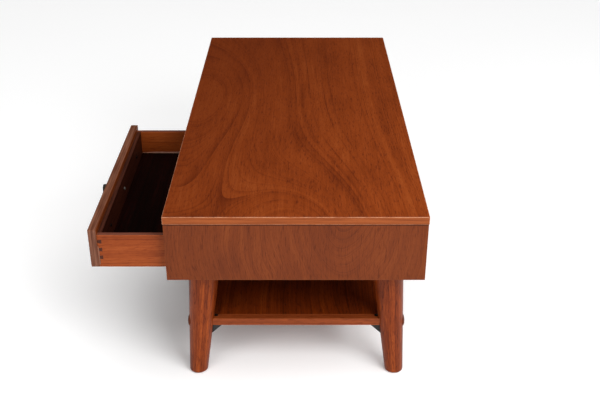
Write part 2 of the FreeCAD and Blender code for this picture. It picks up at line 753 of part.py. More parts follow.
    # grooved runner under the bottom, astride the guide
    runner = new_body(f"{name}_runner")
    section = add_sketch(runner, "XZ_Plane")
    half_groove = "(dims.guide_width / 2 + dims.guide_slack)"
    half_width = "(dims.runner_width / 2)"
    outline(section, [
        (f"-{half_width}", "0"),
        (f"-{half_groove}", "0"),
        (f"-{half_groove}", "dims.runner_groove"),
        (half_groove, "dims.runner_groove"),
        (half_groove, "0"),
        (half_width, "0"),
        (half_width, "dims.groove_height"),
        (f"-{half_width}", "dims.groove_height"),
    ])
    pad(runner, section, "dims.drawer_box_depth - dims.drawer_box_front", True)
    place(runner, bay, box_inner, BOX_UNDER)
    keep(back, bottom, runner)


def bay_fittings(name, bay_sign):
    """What guides and stops a drawer, fixed to the floor of the case."""
    bay = signed(bay_sign, BAY_CENTRE)
    guide_start = f"({BOX_FRONT_CLOSED} + dims.drawer_box_front + dims.guide_setback)"
    guide_end = f"({BOX_FRONT_CLOSED} + dims.drawer_box_depth)"
    guide_height = f"{BOX_UNDER} - {CASE_FLOOR} + dims.runner_groove - dims.guide_slack"
    guide = board(
        f"{name}_guide",
        (f"({bay} - dims.guide_width / 2)", guide_start, CASE_FLOOR),
        ("dims.guide_width", f"{guide_end} - {guide_start}", guide_height),
        "dims.guide_arris",
    )
    glides = []
    stops = []
    for hand in (1, -1):
        side_centre = f"({bay} + {hand} * ({BOX_LENGTH} - dims.drawer_side) / 2)"
        for step in (0, 1):
            glide_y = f"({BOX_FRONT_CLOSED} + dims.drawer_glide_front + {step} * dims.drawer_glide_spacing)"
            glides.append(rod(f"{name}_glide_{hand + 2}_{step}", "dims.drawer_glide_radius",
                              "dims.drawer_glide_height", (side_centre, glide_y, CASE_FLOOR), UP))
        stops.append(board(
            f"{name}_stop_{hand + 2}",
            (f"({side_centre} - dims.drawer_side / 2)", f"({guide_end} + dims.stop_gap)", CASE_FLOOR),
            ("dims.drawer_side", "dims.stop_length", "dims.stop_height"),
            None,
        ))
    keep(guide, group(f"{name}_glides", glides), group(f"{name}_stops", stops))


drawer("drawer_right", 1, "dims.drawer_open")
drawer("drawer_left", -1, "0")
bay_fittings("drawer_right", 1)
bay_fittings("drawer_left", -1)


# ---------------------------------------------------------------- checks and files

doc.recompute()
for piece in doc.Objects:
    if "Invalid" in piece.State or "Error" in piece.State:
        raise ValueError(f"{piece.Label} failed: {piece.State}")
for piece in nodes:
    if piece.Shape.isNull() or not piece.Shape.isValid() or not piece.Shape.Solids:
        raise ValueError(f"{piece.Label} has no valid shape")

os.makedirs("parts", exist_ok=True)
for piece in nodes:
    piece.Shape.exportStep(os.path.join("parts", f"{piece.Label}.step"))
print(f"{len(nodes)} nodes written")
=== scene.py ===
import math
import random

import bmesh
import bpy
from mathutils import Matrix, Vector


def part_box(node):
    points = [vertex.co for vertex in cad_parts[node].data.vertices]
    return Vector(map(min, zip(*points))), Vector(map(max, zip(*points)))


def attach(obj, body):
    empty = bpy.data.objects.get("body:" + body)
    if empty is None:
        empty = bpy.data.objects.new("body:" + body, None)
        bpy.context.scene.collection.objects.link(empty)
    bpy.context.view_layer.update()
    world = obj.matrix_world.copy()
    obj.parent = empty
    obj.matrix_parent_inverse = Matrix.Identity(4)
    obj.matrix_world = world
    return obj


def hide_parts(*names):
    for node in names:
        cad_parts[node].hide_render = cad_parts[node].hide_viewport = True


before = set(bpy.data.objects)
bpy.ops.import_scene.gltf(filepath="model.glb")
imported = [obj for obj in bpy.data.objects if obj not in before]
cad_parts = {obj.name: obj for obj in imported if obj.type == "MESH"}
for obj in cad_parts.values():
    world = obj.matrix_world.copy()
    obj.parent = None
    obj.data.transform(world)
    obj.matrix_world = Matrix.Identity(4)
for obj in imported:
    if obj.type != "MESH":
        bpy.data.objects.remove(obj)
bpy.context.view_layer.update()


# ---- Case: two ends, the back and the rail over the drawers, of boards faced with figured walnut
# veneer and lipped along their edges. They are glued up, stained red-brown and lacquered satin.
# What makes the wood's figure is built here, and every wooden piece below uses it.

def srgb(red, green, blue):
    """A colour named by its usual 0 to 255 values, as the shader wants it."""
    def linear(value):
        value /= 255
        return value / 12.92 if value <= 0.04045 else ((value + 0.055) / 1.055) ** 2.4
    return (linear(red), linear(green), linear(blue), 1.0)


def feed(tree, socket, value):
    """Links a node's output to the socket, or sets the socket to a plain value."""
    if isinstance(value, bpy.types.NodeSocket):
        tree.links.new(value, socket)
    else:
        socket.default_value = value


def maths(tree, operation, *values, clamp=False):
    node = tree.nodes.new("ShaderNodeMath")
    node.operation = operation
    node.use_clamp = clamp
    for socket, value in zip(node.inputs, values):
        feed(tree, socket, value)
    return node.outputs[0]


def vectors(tree, operation, *values):
    node = tree.nodes.new("ShaderNodeVectorMath")
    node.operation = operation
    for socket, value in zip(node.inputs, values):
        feed(tree, socket, value)
    return node.outputs["Value" if operation in ("LENGTH", "DOT_PRODUCT") else "Vector"]


def join(tree, x, y, z):
    node = tree.nodes.new("ShaderNodeCombineXYZ")
    for socket, value in zip(node.inputs, (x, y, z)):
        feed(tree, socket, value)
    return node.outputs[0]


def split(tree, vector):
    node = tree.nodes.new("ShaderNodeSeparateXYZ")
    feed(tree, node.inputs[0], vector)
    return node.outputs


def noise(tree, vector, stretch, detail=2.0, roughness=0.5):
    """Cloudy noise, with features 1 / stretch long on each axis."""
    node = tree.nodes.new("ShaderNodeTexNoise")
    feed(tree, node.inputs["Vector"], vectors(tree, "MULTIPLY", vector, stretch))
    node.inputs["Scale"].default_value = 1.0
    node.inputs["Detail"].default_value = detail
    node.inputs["Roughness"].default_value = roughness
    return node.outputs["Fac"]


def noise_line(tree, along, scale, detail=1.0):
    """Noise that changes along one value only."""
    node = tree.nodes.new("ShaderNodeTexNoise")
    node.noise_dimensions = "1D"
    feed(tree, node.inputs["W"], along)
    node.inputs["Scale"].default_value = scale
    node.inputs["Detail"].default_value = detail
    return node.outputs["Fac"]


def fade(tree, value, low, high, to_low=0.0, to_high=1.0):
    """Takes a value from one range to another, eased and held at both ends."""
    node = tree.nodes.new("ShaderNodeMapRange")
    node.interpolation_type = "SMOOTHSTEP"
    for socket, given in zip(node.inputs, (value, low, high, to_low, to_high)):
        feed(tree, socket, given)
    return node.outputs["Result"]


def blend_colours(tree, amount, first, second):
    node = tree.nodes.new("ShaderNodeMix")
    node.data_type = "RGBA"
    feed(tree, node.inputs["Factor"], amount)
    feed(tree, node.inputs[6], first)
    feed(tree, node.inputs[7], second)
    return node.outputs[2]


def new_effect(name, inputs, outputs):
    """An empty shader node group with named sockets, and its two end nodes."""
    tree = bpy.data.node_groups.new(name, "ShaderNodeTree")
    for label, kind, value in inputs:
        socket = tree.interface.new_socket(label, in_out="INPUT", socket_type=f"NodeSocket{kind}")
        if value is not None:
            socket.default_value = value
    for label, kind in outputs:
        tree.interface.new_socket(label, in_out="OUTPUT", socket_type=f"NodeSocket{kind}")
    return tree, tree.nodes.new("NodeGroupInput").outputs, tree.nodes.new("NodeGroupOutput").inputs


def use_effect(tree, effect, **values):
    """Places a node group in a material; a socket's name is written with _ for each space."""
    node = tree.nodes.new("ShaderNodeGroup")
    node.node_tree = effect
    for label, value in values.items():
        feed(tree, node.inputs[label.replace("_", " ")], value)
    return node.outputs


MIDDLE_GREY = 0.5


def make_grain_wander():
    """How far the grain has wandered sideways, in metres. Grain is along, across and deep."""
    tree, given, result = new_effect(
        "grain wander",
        [("Grain", "Vector", None), ("Wander", "Float", 0.01), ("Stretch", "Vector", (2, 5, 5))],
        [("Shift", "Float")],
    )
    wave = maths(tree, "SUBTRACT", noise(tree, given["Grain"], given["Stretch"], 3.0, 0.45), MIDDLE_GREY)
    feed(tree, result["Shift"], maths(tree, "MULTIPLY", wave, given["Wander"]))
    return tree


def make_rings_from_pith():
    """Counts the growth rings from the pith, which climbs towards the face by rise along it."""
    tree, given, result = new_effect(
        "rings from pith",
        [("Grain", "Vector", None), ("Pith", "Vector", (0, -0.3, -0.15)), ("Rise", "Float", 0.0),
         ("Ring Width", "Float", 0.01)],
        [("Rings", "Float")],
    )
    away = split(tree, vectors(tree, "SUBTRACT", given["Grain"], given["Pith"]))
    deep = maths(tree, "ADD", away[2], maths(tree, "MULTIPLY", away[0], given["Rise"]))
    radius = vectors(tree, "LENGTH", join(tree, 0.0, away[1], deep))
    feed(tree, result["Rings"], maths(tree, "DIVIDE", radius, given["Ring Width"]))
    return tree


def make_veneer_hill():
    """Adds rings round a swelling in the log, which peels into loops and arches in the veneer."""
    tree, given, result = new_effect(
        "veneer hill",
        [("Grain", "Vector", None), ("Centre", "Vector", (0, 0, 0)), ("Reach", "Vector", (1, 1, 1)),
         ("Height", "Float", 5.0)],
        [("Rings", "Float")],
    )
    from_centre = vectors(tree, "SUBTRACT", given["Grain"], given["Centre"])
    away = vectors(tree, "DIVIDE", from_centre, given["Reach"])
    square = vectors(tree, "DOT_PRODUCT", away, away)
    bell = maths(tree, "EXPONENT", maths(tree, "MULTIPLY", square, -1.0))
    feed(tree, result["Rings"], maths(tree, "MULTIPLY", bell, given["Height"]))
    return tree


def make_ring_marks():
    """The soft bands of the rings, the thin dark line where some of them end, and finer lines
    between, where the wood grew in spurts."""
    tree, given, result = new_effect(
        "ring marks",
        [("Rings", "Float", 0.0), ("Grain", "Vector", None), ("Spurts", "Float", 3.0)],
        [("Bands", "Float"), ("Lines", "Float")],
    )
    unevenness, late_sharpness, spurt_sharpness, faintest = 3.0, 7.0, 4.0, 0.8
    uneven = maths(tree, "MULTIPLY", noise_line(tree, given["Rings"], 0.37, detail=2.0), unevenness)
    ring = maths(tree, "ADD", given["Rings"], uneven)
    late = maths(tree, "POWER", maths(tree, "FRACT", ring), late_sharpness)
    chosen = fade(tree, noise_line(tree, given["Rings"], 0.23), 0.36, 0.6)
    broken = fade(tree, noise(tree, given["Grain"], (3.5, 16.0, 16.0)), 0.3, 0.58)
    bold = maths(tree, "MULTIPLY", maths(tree, "MULTIPLY", late, chosen), broken)
    spurt = maths(tree, "FRACT", maths(tree, "MULTIPLY", ring, given["Spurts"]))
    faint = fade(tree, noise_line(tree, ring, 1.7, detail=2.0), 0.35, 0.65, 0.0, faintest)
    fine = maths(tree, "MULTIPLY", maths(tree, "POWER", spurt, spurt_sharpness), faint)
    feed(tree, result["Lines"], maths(tree, "MAXIMUM", bold, fine))
    feed(tree, result["Bands"], noise_line(tree, ring, 0.5, detail=5.0))
    return tree


def make_fibre():
    """Long streaks of fibre, and the short dark pores of walnut, some in clusters and some alone."""
    tree, given, result = new_effect(
        "fibre", [("Grain", "Vector", None)], [("Fibre", "Float"), ("Pores", "Float")],
    )
    fibre_fineness, cluster_fineness = (9.0, 300.0, 300.0), (42.0, 360.0, 360.0)
    pore_fineness = (95.0, 1100.0, 1100.0)
    single_darkness = 0.7
    feed(tree, result["Fibre"], noise(tree, given["Grain"], fibre_fineness, 5.0, 0.75))
    clusters = fade(tree, noise(tree, given["Grain"], cluster_fineness, 3.0, 0.6), 0.54, 0.68)
    single = fade(tree, noise(tree, given["Grain"], pore_fineness), 0.56, 0.72)
    singles = maths(tree, "MULTIPLY", single, single_darkness)
    feed(tree, result["Pores"], maths(tree, "MAXIMUM", clusters, singles))
    return tree


def make_arris_wear():
    """A mask along the edges of a board between two corners, where lacquer is thin from use, and where a
    painted highlight stands for the light the arrises catch.
    """
    tree, given, result = new_effect(
        "arris wear",
        [("Place", "Vector", None), ("Low", "Vector", (0, 0, 0)), ("High", "Vector", (1, 1, 1)),
         ("Width", "Float", 0.0018)],
        [("Wear", "Float")],
    )
    from_low = vectors(tree, "SUBTRACT", given["Place"], given["Low"])
    from_high = vectors(tree, "SUBTRACT", given["High"], given["Place"])
    near = split(tree, vectors(tree, "MINIMUM", from_low, from_high))
    total = maths(tree, "ADD", maths(tree, "ADD", near[0], near[1]), near[2])
    most = maths(tree, "MAXIMUM", maths(tree, "MAXIMUM", near[0], near[1]), near[2])
    edge = fade(tree, maths(tree, "SUBTRACT", total, most), 0.0, given["Width"], 1.0, 0.0)
    patches = noise(tree, given["Place"], (40.0, 40.0, 40.0), 4.0, 0.65)
    least_wear = 0.3
    rubbed = fade(tree, patches, 0.32, 0.62, least_wear, 1.0)
    feed(tree, result["Wear"], maths(tree, "MULTIPLY", edge, rubbed))
    return tree


def make_stain_tone():
    """Colours wood that has been stained: lighter and darker than its middle by what shows in it."""
    tree, given, result = new_effect(
        "stain tone",
        [("Grain", "Vector", None),
         ("Dark", "Color", None), ("Middle", "Color", None), ("Light", "Color", None),
         ("Bands", "Float", 0.5), ("Lines", "Float", 0.0), ("Fibre", "Float", 0.5), ("Pores", "Float", 0.0),
         ("Band Strength", "Float", 1.0), ("Line Strength", "Float", 0.8), ("Fibre Strength", "Float", 1.4),
         ("Pore Strength", "Float", 0.35), ("Cloud Strength", "Float", 1.0)],
        [("Colour", "Color")],
    )
    level, contrast = 0.0, 1.6
    cloud = noise(tree, given["Grain"], (4.0, 10.0, 10.0), 4.0, 0.6)
    for signal, strength in ((given["Bands"], "Band"), (given["Fibre"], "Fibre"), (cloud, "Cloud")):
        swing = maths(tree, "SUBTRACT", signal, MIDDLE_GREY)
        level = maths(tree, "ADD", level, maths(tree, "MULTIPLY", swing, given[f"{strength} Strength"]))
    for signal, strength in ((given["Lines"], "Line"), (given["Pores"], "Pore")):
        shown = maths(tree, "MULTIPLY", signal, given[f"{strength} Strength"])
        level = maths(tree, "SUBTRACT", level, shown)
    lighter = maths(tree, "MULTIPLY", level, contrast, clamp=True)
    darker = maths(tree, "MULTIPLY", level, -contrast, clamp=True)
    raised = blend_colours(tree, lighter, given["Middle"], given["Light"])
    feed(tree, result["Colour"], blend_colours(tree, darker, raised, given["Dark"]))
    return tree


grain_wander = make_grain_wander()
rings_from_pith = make_rings_from_pith()
veneer_hill = make_veneer_hill()
ring_marks = make_ring_marks()
fibre = make_fibre()
arris_wear = make_arris_wear()
stain_tone = make_stain_tone()

# Painted shade under an overhang: its colour, how strong it is, and how far below the joint it is full and
# where it is gone.
OLD_POLISH = srgb(24, 8, 3)
POLISH_AMOUNT, POLISH_FULL, POLISH_GONE = 0.62, 0.0015, 0.004
END_GRAIN_DARKNESS, END_GRAIN_SHARPNESS = 0.45, 6.0
FIBRE_SHEEN, WORN_SHEEN, PORE_SHEEN = 0.3, 0.12, 0.1
FIBRE_HEIGHT, RELIEF_STRENGTH, RELIEF_DEPTH = 0.6, 0.2, 0.0003
LIPPING_COARSE, LIPPING_FINE = 9.0, 300.0
X, Y, Z = (1, 0, 0), (0, 1, 0), (0, 0, 1)
ALONG_X, ALONG_Y, ALONG_Z = (X, Y, Z), (Y, X, Z), (Z, Y, X)


def wood(name, low, high, stain, axes=ALONG_X, pith=(0, -0.35, -0.2), rise=0.0, ring_width=0.009,
         wander=0.015, stretch=(2, 6, 6), hills=(), start=(0, 0, 0), bands=0.7, lines=0.7, spurts=3.0,
         threads=1.5, pores=0.45, clouds=0.8, wear=0.5, rubbed=None, lipping=None, faces=None, seam=None,
         shaded=None, roughness=0.44, gloss=0.13):
    """Stained and lacquered wood for one board between the corners low and high. axes are the
    ways along, across and deep in its grain, and start is where in the tree it was cut. stain
    is its dark, middle and light colour. Veneer swells over hills, each a centre, a reach and a
    height in rings, and the edges off its faces (an axis number) carry the lipping's colours.
    Its arrises are lightened towards a given pale colour, or its light one, partly from use and
    partly as a painted highlight. A line of painted shade lies just below the height where another
    board stands on it, for that board's shadow. Painted shade can also darken one side of the board:
    a direction, where that starts and ends along it, and how much."""
    material = bpy.data.materials.new(name)
    material.use_nodes = True
    tree = material.node_tree
    shader = tree.nodes["Principled BSDF"]
    spot = tree.nodes.new("ShaderNodeTexCoord")
    place = spot.outputs["Object"]
    moved = vectors(tree, "ADD", place, start)
    along, across, deep = [vectors(tree, "DOT_PRODUCT", moved, axis) for axis in axes]
    straight = join(tree, along, across, deep)
    shift = use_effect(tree, grain_wander, Grain=straight, Wander=wander, Stretch=stretch)["Shift"]
    grain = join(tree, along, maths(tree, "ADD", across, shift), deep)
    rings = use_effect(tree, rings_from_pith, Grain=grain, Pith=pith, Rise=rise,
                       Ring_Width=ring_width)["Rings"]
    for centre, reach, height in hills:
        more = use_effect(tree, veneer_hill, Grain=straight, Centre=centre, Reach=reach,
                          Height=height)["Rings"]
        rings = maths(tree, "ADD", rings, more)
    marks = use_effect(tree, ring_marks, Rings=rings, Grain=grain, Spurts=spurts)
    threading = use_effect(tree, fibre, Grain=grain)
    dark, middle, light = stain
    toned = use_effect(tree, stain_tone, Grain=straight, Dark=dark, Middle=middle, Light=light,
                       Bands=marks["Bands"], Lines=marks["Lines"], Fibre=threading["Fibre"],
                       Pores=threading["Pores"], Band_Strength=bands, Line_Strength=lines,
                       Fibre_Strength=threads, Pore_Strength=pores, Cloud_Strength=clouds)["Colour"]
    # Painted shade: the board darkens towards its dark colour along one direction, where less light falls.
    if shaded is not None:
        direction, darkest, lightest, amount = shaded
        reach = vectors(tree, "DOT_PRODUCT", place, direction)
        toned = blend_colours(tree, fade(tree, reach, darkest, lightest, amount, 0.0), toned, dark)
    facing = maths(tree, "ABSOLUTE", vectors(tree, "DOT_PRODUCT", spot.outputs["Normal"], axes[0]))
    if lipping is None:
        end_grain = maths(tree, "MULTIPLY", maths(tree, "POWER", facing, END_GRAIN_SHARPNESS),
                          END_GRAIN_DARKNESS)
        toned = blend_colours(tree, end_grain, toned, dark)
    else:
        fineness = [LIPPING_FINE if number == faces else LIPPING_COARSE for number in range(3)]
        streaks = noise(tree, place, fineness, 4.0, 0.6)
        edging = blend_colours(tree, fade(tree, streaks, 0.3, 0.7), lipping[0], lipping[1])
        flat = maths(tree, "ABSOLUTE", split(tree, spot.outputs["Normal"])[faces])
        toned = blend_colours(tree, fade(tree, flat, 0.5, 0.8, 1.0, 0.0), toned, edging)
    # The arrises turn pale: partly thin lacquer from use, partly a painted highlight for the light they
    # catch.
    worn = use_effect(tree, arris_wear, Place=place, Low=low, High=high)["Wear"]
    toned = blend_colours(tree, maths(tree, "MULTIPLY", worn, wear), toned, rubbed or light)
    # Painted shade: a dark line just below the height where another board stands on this one, for the
    # shadow under it.
    if seam is not None:
        below = maths(tree, "SUBTRACT", seam, split(tree, place)[2])
        polish = fade(tree, below, POLISH_FULL, POLISH_GONE, POLISH_AMOUNT, 0.0)
        toned = blend_colours(tree, polish, toned, OLD_POLISH)
    feed(tree, shader.inputs["Base Color"], toned)
    uneven = maths(tree, "SUBTRACT", threading["Fibre"], MIDDLE_GREY)
    grainy = maths(tree, "MULTIPLY", uneven, FIBRE_SHEEN)
    dulled = maths(tree, "MULTIPLY", worn, WORN_SHEEN)
    sheen = maths(tree, "ADD", maths(tree, "ADD", grainy, dulled), roughness)
    pitted = maths(tree, "MULTIPLY", threading["Pores"], PORE_SHEEN)
    feed(tree, shader.inputs["Roughness"], maths(tree, "ADD", sheen, pitted))
    raised = maths(tree, "MULTIPLY", threading["Fibre"], FIBRE_HEIGHT)
    relief = maths(tree, "SUBTRACT", raised, threading["Pores"])
    bump = tree.nodes.new("ShaderNodeBump")
    bump.inputs["Strength"].default_value = RELIEF_STRENGTH
    bump.inputs["Distance"].default_value = RELIEF_DEPTH
    feed(tree, bump.inputs["Height"], relief)
    feed(tree, shader.inputs["Normal"], bump.outputs[0])
    shader.inputs["Specular IOR Level"].default_value = gloss
    return material


def corners_of(node):
    low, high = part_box(node)
    return tuple(low), tuple(high)


def dress(node, material):
    """Gives a CAD piece its finish."""
    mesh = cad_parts[node].data
    mesh.materials.clear()
    mesh.materials.append(material)


def dress_board(node, stain, **figure):
    dress(node, wood(node, *corners_of(node), stain, **figure))


CASE_STAIN = (srgb(74, 27, 5), srgb(107, 47, 14), srgb(132, 66, 26))
CASE_LIPPING = (srgb(91, 38, 11), srgb(124, 63, 28))
CASE_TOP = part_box("end_panel_right")[1].z
CROWN_FIGURE = dict(axes=ALONG_Z, ring_width=0.0085, wander=0.05, stretch=(5, 7, 3), lines=0.42,
                    bands=0.55, threads=0.6, pores=0.35, faces=0)
dress_board("end_panel_right", CASE_STAIN, pith=(0.357, 0.10, 0.545), rise=-0.42,
            lipping=CASE_LIPPING, seam=CASE_TOP, **CROWN_FIGURE)
dress_board("end_panel_left", CASE_STAIN, pith=(0.357, 0.06, -0.545), rise=0.35,
            lipping=CASE_LIPPING, seam=CASE_TOP, **CROWN_FIGURE)
LONG_FIGURE = dict(axes=(X, Z, Y), pith=(0, -1.6, 0), wander=0.03, stretch=(3, 9, 3), faces=1)
BACK_ARCHES = [((-0.32, 0.35, 0.27), (0.30, 1, 0.07), 9), ((0.36, 0.34, 0.27), (0.26, 1, 0.06), -8)]
dress_board("back_panel", CASE_STAIN, hills=BACK_ARCHES, lipping=CASE_LIPPING, seam=CASE_TOP,
            **LONG_FIGURE)
dress_board("front_top_rail", CASE_STAIN, start=(0.1, 0, 0.5))


# ---- Inside the case: its bottom, the divider, the blocks under the top and what guides the drawers.
# Plain straight-grained hardwood, planed and stained to go with the case, glued and screwed.

CARCASE_STAIN = (srgb(60, 21, 7), srgb(88, 38, 15), srgb(110, 55, 26))
dress_board("case_bottom", CARCASE_STAIN, start=(0.3, 0.2, 0))
dress_board("centre_divider", CARCASE_STAIN, axes=ALONG_Y, start=(0, 0.4, 0))
dress_board("top_fixing_blocks", CARCASE_STAIN, axes=ALONG_Y, wear=0)
for hand in ("right", "left"):
    for fitting in ("guide", "stops"):
        dress_board(f"drawer_{hand}_{fitting}", CARCASE_STAIN, axes=ALONG_Y, wear=0.3)


# ---- Legs: four straight round tapers of solid walnut that lean outwards.
# Each is turned on a lathe from one length, so its grain runs straight down its own axis.

LEG_STAIN = (srgb(78, 26, 4), srgb(122, 50, 13), srgb(166, 78, 24))
LEG_RISE, LEG_LEAN = 286.0, 24.9
LEG_SPACING_IN_TREE = (0.07, 0.013, 0.2)
CORNERS = [(side, end) for side in ("front", "back") for end in ("right", "left")]
for number, (side, end) in enumerate(CORNERS):
    lean_x = -LEG_LEAN if end == "right" else LEG_LEAN
    lean_y = LEG_LEAN if side == "front" else -LEG_LEAN
    axis = Vector((lean_x, lean_y, LEG_RISE)).normalized()
    sideways = axis.cross(Vector(X)).normalized()
    outwards = axis.cross(sideways)
    low, high = corners_of(f"leg_{side}_{end}")
    middle = (Vector(low) + Vector(high)) / 2
    cut_from = Vector([step * number for step in LEG_SPACING_IN_TREE])
    dress(f"leg_{side}_{end}", wood(
        f"leg_{side}_{end}", low, high, LEG_STAIN, axes=(axis, sideways, outwards),
        start=tuple(cut_from - middle),
        pith=(0, 0.35, 0.02), ring_width=0.006, wander=0.002, stretch=(2, 12, 12), bands=1.5,
        lines=0.5, threads=2.0, pores=0.5, wear=0, roughness=0.38))


# ---- Leg buttons, bolts, glides and the screws that hold the top.
# A turned walnut button hides each bolt where it goes through the leg to the shelf, a pressed
# steel glide is nailed under each foot, and all the steel is bright with zinc plate.

GRIME_SHADE, GRIME_DULLING = 0.6, 0.18


def plain(name, colour, roughness, metallic=0.0):
    """A finish without grain: slightly uneven in colour and gloss, and fingered with use."""
    material = bpy.data.materials.new(name)
    material.use_nodes = True
    tree = material.node_tree
    shader = tree.nodes["Principled BSDF"]
    place = tree.nodes.new("ShaderNodeTexCoord").outputs["Object"]
    grime = noise(tree, place, (70.0, 70.0, 70.0), 4.0, 0.6)
    speck = noise(tree, place, (900.0, 900.0, 900.0), 2.0, 0.5)
    deep = tuple(GRIME_SHADE * value for value in colour[:3]) + (1.0,)
    feed(tree, shader.inputs["Base Color"], blend_colours(tree, fade(tree, grime, 0.35, 0.7), colour, deep))
    dulled = fade(tree, grime, 0.3, 0.75, roughness, roughness + GRIME_DULLING)
    feed(tree, shader.inputs["Roughness"], dulled)
    bump = tree.nodes.new("ShaderNodeBump")
    bump.inputs["Strength"].default_value = 0.15
    bump.inputs["Distance"].default_value = 0.0001
    feed(tree, bump.inputs["Height"], speck)
    feed(tree, shader.inputs["Normal"], bump.outputs[0])
    shader.inputs["Metallic"].default_value = metallic
    return material


SAME_POINT, SHARP_CORNER = 1e-6, math.radians(35)


def solids_in(node):
    """The lowest and highest corners of each separate solid of a grouped CAD node."""
    shape = bmesh.new()
    shape.from_mesh(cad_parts[node].data)
    bmesh.ops.remove_doubles(shape, verts=shape.verts, dist=SAME_POINT)
    waiting = set(shape.verts)
    corners = []
    while waiting:
        reached = [waiting.pop()]
        for vertex in reached:
            for edge in vertex.link_edges:
                other = edge.other_vert(vertex)
                if other in waiting:
                    waiting.remove(other)
                    reached.append(other)
        places = [vertex.co.copy() for vertex in reached]
        corners.append([Vector([pick(place[axis] for place in places) for axis in range(3)])
                        for pick in (min, max)])
    shape.free()
    return corners


def new_piece(name, shape, material):
    """Turns a bmesh into an object with smooth faces and sharp corners."""
    mesh = bpy.data.meshes.new(name)
    bmesh.ops.recalc_face_normals(shape, faces=shape.faces)
    shape.to_mesh(mesh)
    shape.free()
    mesh.polygons.foreach_set("use_smooth", [True] * len(mesh.polygons))
    mesh.set_sharp_from_angle(angle=SHARP_CORNER)
    mesh.materials.append(material)
    piece = bpy.data.objects.new(name, mesh)
    bpy.context.scene.collection.objects.link(piece)
    return piece


def join_rings(shape, rings):
    """Skins a stack of closed loops of points and caps both ends."""
    loops = [[shape.verts.new(place) for place in ring] for ring in rings]
    for lower, upper in zip(loops, loops[1:]):
        for number in range(len(lower)):
            after = (number + 1) % len(lower)
            shape.faces.new((lower[number], lower[after], upper[after], upper[number]))
    shape.faces.new(loops[0])
    shape.faces.new(loops[-1])


CROSS_WIDTH, CROSS_LENGTH, CROSS_STEPS = 0.15, 0.56, 4
CROSS_DEPTH, CROSS_NARROWING, CROSS_RIM = 0.0017, 0.45, 0.4
SCREW_HEAD_HEIGHT, SCREW_SHANK_RADIUS = 0.0025, 0.0019
DOME_FALL, DOME_STEPS, HEAD_RIM_HEIGHT, HEAD_TUCK = 0.55, (0.68, 0.82, 0.94), 0.36, 0.97
SHANK_STEPS = ((1, 0.0), (0.92, 0.75), (0.1, 1.0))


def cross_outline():
    """The outline of a cross recess in a head of radius one, with a few points on each edge."""
    near, far = CROSS_WIDTH, CROSS_LENGTH
    arm = [(near, near), (near, far), (-near, far)]
    turns = [lambda x, y: (x, y), lambda x, y: (-y, x), lambda x, y: (-x, -y), lambda x, y: (y, -x)]
    bends = [turn(*corner) for turn in turns for corner in arm]
    points = []
    for start, end in zip(bends, bends[1:] + bends[:1]):
        for step in range(CROSS_STEPS):
            points.append(Vector(start).lerp(Vector(end), step / CROSS_STEPS))
    return points


def add_screw(shape, low, high, out):
    """A domed screw with a cross recess that fills the space of a plain CAD one. out is the
    direction in which its head faces."""
    out = Vector(out)
    length = abs((high - low).dot(out))
    middle = (low + high) / 2
    head_radius = max((high - low)[axis] for axis in range(3) if out[axis] == 0) / 2
    side = Vector(out.yzx)
    turn = Matrix((side, out.cross(side), out)).transposed()
    seat = middle + out * (length / 2 - SCREW_HEAD_HEIGHT)
    cross = cross_outline()
    circle = [point.normalized() for point in cross]

    def ring(outline, radius, height):
        return [seat + turn @ Vector((*(point * radius), height)) for point in outline]

    def dome(radius):
        return SCREW_HEAD_HEIGHT * (1 - DOME_FALL * (radius / head_radius) ** 2)

    stack = [ring(cross, CROSS_NARROWING * head_radius, dome(0) - CROSS_DEPTH)]
    stack.append(ring(cross, head_radius, dome(CROSS_RIM * head_radius)))
    stack += [ring(circle, share * head_radius, dome(share * head_radius)) for share in DOME_STEPS]
    stack.append(ring(circle, head_radius, HEAD_RIM_HEIGHT * SCREW_HEAD_HEIGHT))
    stack.append(ring(circle, HEAD_TUCK * head_radius, 0.0))
    point = SCREW_HEAD_HEIGHT - length
    for radius, share in SHANK_STEPS:
        stack.append(ring(circle, radius * SCREW_SHANK_RADIUS, share * point))
    join_rings(shape, stack)


def make_screws(node, out, body, material):
    """Stands for a CAD node of plain screws."""
    shape = bmesh.new()
    for low, high in solids_in(node):
        add_screw(shape, low, high, out)
    piece = new_piece(f"{node}_crossed", shape, material)
    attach(piece, body)
    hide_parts(node)


BUTTON_STAIN = (srgb(62, 26, 13), srgb(98, 46, 25), srgb(126, 66, 38))
dress_board("leg_buttons", BUTTON_STAIN, axes=ALONG_Y, wear=0)
zinc = plain("zinc_plate", srgb(196, 193, 184), roughness=0.28, metallic=1.0)
for node in ("leg_hanger_bolts", "leg_tee_nuts", "shelf_bolts", "foot_glides"):
    dress(node, zinc)
make_screws("top_fixing_screws", (0, 0, -1), "table", zinc)


# ---- Shelf: a veneered board with a solid walnut rail across each end, level with it.
# The board's grain runs the length of the table, and bolts hold the rails to the legs.

SHELF_STAIN = (srgb(66, 20, 2), srgb(110, 42, 6), srgb(140, 64, 16))
SHELF_HILLS = [((0.45, 0.04, 0), (0.40, 0.12, 1), 8), ((-0.30, -0.10, 0), (0.45, 0.10, 1), -8)]
dress_board("shelf_panel", SHELF_STAIN, pith=(0, -2.0, 0), ring_width=0.011, wander=0.04,
            hills=SHELF_HILLS, bands=0.9, lipping=CASE_LIPPING, faces=2)
RAIL_STAIN = (srgb(99, 40, 13), srgb(137, 63, 26), srgb(160, 85, 43))
for hand in ("right", "left"):
    dress_board(f"shelf_rail_{hand}", RAIL_STAIN, axes=ALONG_Y, ring_width=0.005, wander=0.008, wear=0.8)


# ---- Shelf braces: a dark moulded block under each corner of the shelf, shaped to fit the leg.
# A blackened steel screw goes down through the end of the shelf into each.

